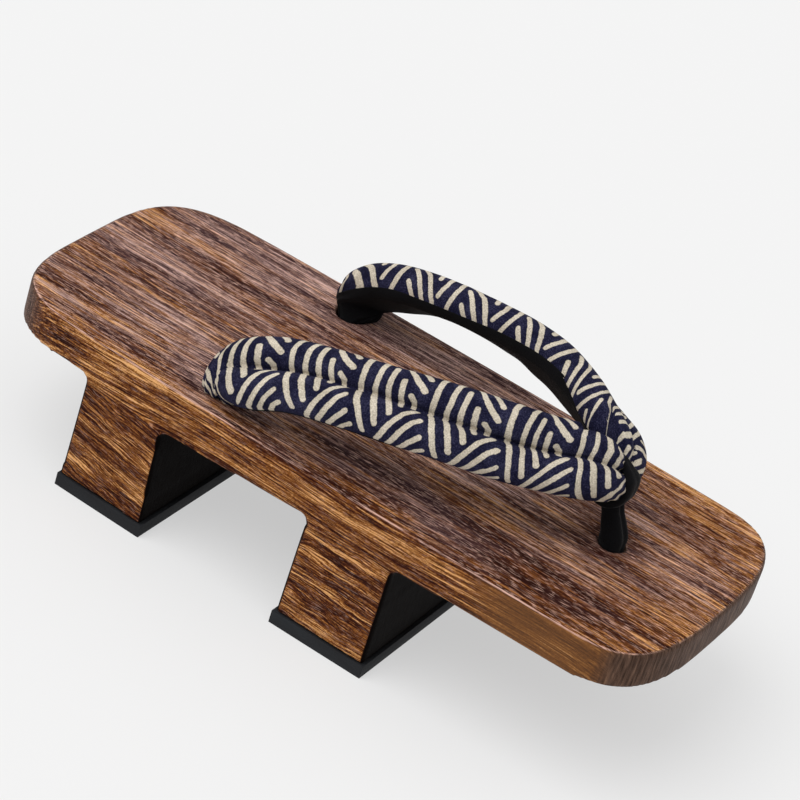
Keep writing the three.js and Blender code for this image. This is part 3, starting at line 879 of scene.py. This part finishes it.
def cover_of_roll(strap, roll):
    """One roll's half of the cover, from the seam to the hem.

    Returns its points, and how far each is round the cloth from the seam and along it from the strap's point.
    """
    seam, edge, bare = roll.seam[:, None], roll.edge[:, None], roll.radius[:, None]
    turn = seam + (edge - seam) * strap_columns()
    around = roll.direction * (turn - seam) * bare
    shown = on_roll(strap, roll, bare + cover_relief(strap, around), turn)
    cloth = cloth_from_point(on_roll(strap, roll, bare + 0 * turn, turn), strap.along, strap.half)
    if roll is strap.inner:
        straight = np.abs(strap.along - strap.half)[:, None]
        share = np.where(straight < POINT_BEND_END, INNER_BEND_SHARE, 1)
        cloth = straight + (cloth - straight) * share
    hem = edge + (math.radians(HEM_END) - edge) * np.linspace(0, 1, HEM_COLUMNS + 1)[1:]
    hidden = on_roll(strap, roll, bare - HEM_DEPTH + 0 * hem, hem)
    points = np.concatenate([shown, hidden], axis=1)
    around = np.concatenate([around, np.broadcast_to(around[:, -1:], hem.shape)], axis=1)
    cloth = np.concatenate([cloth, np.broadcast_to(cloth[:, -1:], hem.shape)], axis=1)
    return points, around, cloth


def seam_line(strap):
    """The sewn line between the rolls, a little deeper than where they meet."""
    inner, outer = (on_roll(strap, roll, roll.radius[:, None] - SEAM_CREASE, roll.seam[:, None])
                    for roll in (strap.inner, strap.outer))
    return (inner + outer) / 2 - strap.front[:, None] * SEAM_CREASE


def strap_cover_points(strap):
    """The padded cover's points, and for each its place along and round the cloth."""
    inner, inner_around, inner_cloth = cover_of_roll(strap, strap.inner)
    outer, outer_around, outer_cloth = cover_of_roll(strap, strap.outer)
    seam_cloth = outer_cloth[:, :1]
    by_seam = smooth_step(SEAM_BLEND, 0, inner_around)
    inner_cloth = inner_cloth + by_seam * (seam_cloth - inner_cloth[:, :1])
    points = np.concatenate([inner[:, ::-1], seam_line(strap), outer], axis=1)
    around = np.concatenate([inner_around[:, ::-1], 0 * seam_cloth, outer_around], axis=1)
    cloth = np.concatenate([inner_cloth[:, ::-1], seam_cloth, outer_cloth], axis=1)
    on_right = (strap.along < strap.half)[:, None]
    around = around - cover_turned(strap.from_end)[:, None]
    return resting(pinched(points)), np.where(on_right, -cloth, cloth), around


def crushed(points):
    """How far the cloth is crushed into a bend at each point, from 0 to 1."""
    steps = np.linalg.norm(np.gradient(points, axis=0), axis=2) / STRAP_PITCH
    return smooth_step(CRUSH_START, CRUSH_FULL, smoothed(steps))


def stroke_distance(along, around, stroke):
    """The distance from each point to a stroke, less half its width."""
    nearest = np.full(along.shape, np.inf)
    for (x0, y0), (x1, y1) in zip(stroke, stroke[1:]):
        dx, dy = x1 - x0, y1 - y0
        share = np.clip(((along - x0) * dx + (around - y0) * dy) / (dx * dx + dy * dy), 0, 1)
        nearest = np.minimum(nearest, np.hypot(along - x0 - share * dx, around - y0 - share * dy))
    return nearest - STROKE_HALF_WIDTH


def print_ink(cloth, around):
    """How far each point is from the nearest cream stroke, negative inside one.

    Cloth is counted from the strap's point: to the left when positive, and to the right when negative.
    """
    slip_right = np.interp(-cloth, *zip(*SLIP_RIGHT))
    slip_left = np.interp(cloth, *zip(*SLIP_LEFT))
    place = np.where(cloth < 0, PRINT_RIGHT + cloth + slip_right, PRINT_LEFT + cloth + slip_left)
    place = np.mod(place + lumps(DRIFT_ALONG, cloth, around) - PRINT_START, PRINT_REPEAT) + PRINT_START
    height = around + lumps(DRIFT_AROUND, cloth, around)
    ink = np.full(cloth.shape, np.inf)
    for stroke in FAN + SLANTS + ARCS:
        for shift in (-PRINT_REPEAT, 0, PRINT_REPEAT):
            moved = [(x + shift, y) for x, y in stroke]
            ink = np.minimum(ink, stroke_distance(place, height, moved))
    return ink


def make_strap_cover(strap, material):
    """The padded cover, with the print's distances and the flat cloth's places stored on its mesh."""
    points, cloth, around = strap_cover_points(strap)
    piece = new_piece("strap_cover", points, material, ["strap"])
    mesh = piece.data
    ink = print_ink(cloth, around) + CRUSHED_INK * crushed(points)
    mesh.attributes.new("ink", "FLOAT", "POINT").data.foreach_set("value", ink.ravel().astype(np.float32))
    corners = np.empty(len(mesh.loops), np.int32)
    mesh.loops.foreach_get("vertex_index", corners)
    places = np.stack([cloth.ravel(), around.ravel()], axis=-1)[corners]
    mesh.uv_layers.new(name="cloth").data.foreach_set("uv", places.ravel().astype(np.float32))
    return piece


# ---- The strap's lining ----
def lining_of_roll(strap, roll, stand):
    """One roll's half of one face of the lining, from under the cover to the middle of the back."""
    start = roll.edge[:, None] - LINING_LAP
    middle = math.pi + math.asin(LINING_DEPTH / ROLL) + LINING_LAP
    turn = start + (middle - start) * np.linspace(0, 1, LINING_COLUMNS)
    around = roll.direction * turn * ROLL
    gathered = smooth_step(GATHER_START, GATHER_FULL, strap.from_end)[:, None]
    gathers = LINING_GATHER * gathered * np.sin(FULL_TURN * around / LINING_GATHER_PITCH)
    radius = roll.radius[:, None] + stand
    if stand > 0:
        radius = radius + lumps(LINING_LUMPS, strap.along[:, None], around)
    return on_roll(strap, roll, radius + gathers, turn)


def make_lining(strap, material):
    """The black lining round the strap's back, from one roll's cover to the other's."""
    skins = []
    for stand in (LINING_OUTSIDE, LINING_INSIDE):
        inner = lining_of_roll(strap, strap.inner, stand)
        outer = lining_of_roll(strap, strap.outer, stand)
        skins.append(np.concatenate([inner, outer[:, ::-1]], axis=1))
    outside, inside = skins
    points = resting(pinched(np.concatenate([outside, inside[:, ::-1]], axis=1)))
    return new_piece("strap_lining", points, material)


# ---- The toe loop ----
def swept(line, first, second, wide, deep):
    """Rings of points round a line, each so wide along the first direction and so deep along the second."""
    return line[:, None] + wide[..., None] * first[:, None] + deep[..., None] * second[:, None]


def two_lobes(steps, groove):
    """The outline of two soft cords side by side, as width and depth from -1 to 1, all the way round."""
    turn = circle(steps)
    waist = 1 - groove * np.exp(-(np.cos(turn) / GROOVE_WIDTH) ** 2)
    square = (np.abs(np.cos(turn)) ** 3 + np.abs(np.sin(turn)) ** 3) ** (-1 / 3)
    return square * np.cos(turn), square * np.sin(turn) * waist


def make_loop_band(material):
    """The band round the strap's point, thinner and narrower over its top."""
    steps, sides = 120, 32
    turn = circle(steps)
    inner_length = LOOP_HALF_LENGTH - LOOP_BAND / 2
    inner_height = LOOP_HALF_HEIGHT - LOOP_BAND / 2
    outward = unit(np.stack([np.cos(turn) / inner_length, 0 * turn, np.sin(turn) / inner_height], -1))
    over_top = smooth_step(*LOOP_TOP, np.sin(turn))
    thick = LOOP_BAND * (1 - LOOP_THINS * over_top)
    half_width = LOOP_WIDTH / 2 * (1 - LOOP_NARROWS * over_top) * (1 + LOOP_WAVE * np.sin(turn * 9))
    x, z = LOOP_X + inner_length * np.cos(turn), LOOP_Z + inner_height * np.sin(turn)
    centre = np.stack([x, 0 * turn, z], -1) + outward * thick[:, None] / 2
    wide, deep = two_lobes(sides, LOOP_GROOVE)
    points = swept(centre, SIDEWAYS, outward, half_width[:, None] * wide, thick[:, None] / 2 * deep)
    return new_piece("toe_loop_band", points, material, ["toe_loop"], closed=True)


def make_loop_post(material):
    """The two legs of the loop side by side, going down through the toe hole."""
    sides = 36
    line = catmull_rom([(x, 0, TOP + z) for x, z in POST], 14)
    height = line[:, 2] - TOP
    tangent = unit(np.gradient(line, axis=0))
    ahead = unit(np.cross(SIDEWAYS, tangent))
    wide, deep = two_lobes(sides, POST_GROOVE)
    foot = POST_FOOT * np.exp(-((height - POST_FOOT_HEIGHT) / 2) ** 2)
    radius = POST_RADIUS - POST_WAIST * smooth_step(5, 12, height) + foot
    radius = radius[:, None] + lumps(POST_LUMPS, height[:, None], 12 * np.arange(sides)[None, :] / sides)
    points = swept(line, SIDEWAYS, ahead, radius * wide, radius * deep)
    from_hole = np.hypot(points[..., 0] - TOE_HOLE.x, points[..., 1])
    limit = np.where(points[..., 2] < TOP + 0.2, TOE_HOLE_RADIUS - GAP / 2, np.inf)
    shrink = np.minimum(limit / np.maximum(from_hole, 1e-6), 1)
    points[..., 0] = TOE_HOLE.x + (points[..., 0] - TOE_HOLE.x) * shrink
    points[..., 1] *= shrink
    return new_piece("toe_loop_post", points, material)


# ---- The knots ----
def make_knot(node, material):
    """A cord tied in a trefoil that fills the CAD node's box."""
    low, high = (np.array(corner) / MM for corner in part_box(node))
    middle = (low + high) / 2
    steps, sides = 120, 20
    turn = circle(steps)
    line = np.stack([np.sin(turn) + 2 * np.sin(2 * turn), np.cos(turn) - 2 * np.cos(2 * turn),
                     -np.sin(3 * turn)], -1) * (KNOT_REACH, KNOT_REACH, KNOT_RISE)
    tangent = unit(np.roll(line, -1, axis=0) - np.roll(line, 1, axis=0))
    side = unit(np.cross(tangent, (0, 0, 1)))
    rise = np.cross(side, tangent)
    thick = (KNOT_CORD + KNOT_WAVE * np.sin(9 * turn))[:, None]
    points = swept(middle + line, side, rise, thick * np.cos(circle(sides)), thick * np.sin(circle(sides)))
    return new_piece(node + "_cord", points, material, [node], closed=True)


# ---- The studio's making ----
def make_floor():
    """A pale floor that glows a little, so that the shadow on it stays faint."""
    bpy.ops.mesh.primitive_plane_add(size=FLOOR_SIZE)
    floor = bpy.context.object
    floor.name = "floor"
    s = Shader("floor_paint")
    s.set(
        Base_Color=(FLOOR_GREY, FLOOR_GREY, FLOOR_GREY, 1),
        Roughness=0.9,
        Specular_IOR_Level=0.05,
        Emission_Color=(1, 1, 1, 1),
        Emission_Strength=FLOOR_GLOW,
    )
    floor.data.materials.append(s.material)


def make_sun():
    sun = bpy.data.lights.new("key", "SUN")
    sun.energy = SUN_STRENGTH
    sun.angle = math.radians(SUN_SOFTNESS)
    key = bpy.data.objects.new("key", sun)
    key.rotation_euler = SUN_DIRECTION.to_track_quat("-Z", "Y").to_euler()
    bpy.context.scene.collection.objects.link(key)


def make_sky():
    """A grey that grows white overhead."""
    world = bpy.data.worlds.new("studio")
    bpy.context.scene.world = world
    world.use_nodes = True
    tree = world.node_tree
    ray = tree.nodes.new("ShaderNodeTexCoord")
    split = tree.nodes.new("ShaderNodeSeparateXYZ")
    ramp = tree.nodes.new("ShaderNodeValToRGB")
    low, high = ramp.color_ramp.elements
    low.position, low.color = 0.0, (SKY_LOW, SKY_LOW, SKY_LOW, 1)
    high.position, high.color = SKY_WHITE_FROM, (1, 1, 1, 1)
    background = tree.nodes["Background"]
    background.inputs["Strength"].default_value = SKY_STRENGTH
    tree.links.new(ray.outputs["Generated"], split.inputs[0])
    tree.links.new(split.outputs["Z"], ramp.inputs["Fac"])
    tree.links.new(ramp.outputs["Color"], background.inputs["Color"])


def make_camera():
    """Looks at a point above the middle of the board from the toe's right, and is rolled."""
    azimuth, elevation = math.radians(CAMERA_AZIMUTH), math.radians(CAMERA_ELEVATION)
    level = math.cos(elevation)
    aim = Vector((-math.sin(azimuth) * level, math.cos(azimuth) * level, -math.sin(elevation)))
    camera_data = bpy.data.cameras.new("camera")
    camera_data.sensor_width = CAMERA_SENSOR
    camera_data.lens = CAMERA_LENS
    camera = bpy.data.objects.new("camera", camera_data)
    roll = Matrix.Rotation(math.radians(CAMERA_ROLL), 4, "Z")
    turn = aim.to_track_quat("-Z", "Y").to_matrix().to_4x4() @ roll
    camera.matrix_world = Matrix.Translation(CAMERA_TARGET - aim * CAMERA_DISTANCE) @ turn
    bpy.context.scene.collection.objects.link(camera)
    bpy.context.scene.camera = camera


make_camera()
make_floor()
make_sun()
make_sky()
bpy.context.scene.view_settings.view_transform = "Standard"

wood = wood_material()
cotton = print_material()
rubber = rubber_material()
lining_cloth = black_cloth_material("lining_cloth", nap_mm=0.5, sheen=0.03)
velvet = black_cloth_material("loop_velvet", nap_mm=0.8, sheen=0.08)

make_board(wood)
make_pad("heel_pad", rubber)
make_pad("toe_pad", rubber)
strap = strap_form()
make_strap_cover(strap, cotton)
make_lining(strap, lining_cloth)
make_loop_band(velvet)
make_loop_post(velvet)
for knot in ("knot_toe", "knot_heel_right", "knot_heel_left"):
    make_knot(knot, lining_cloth)
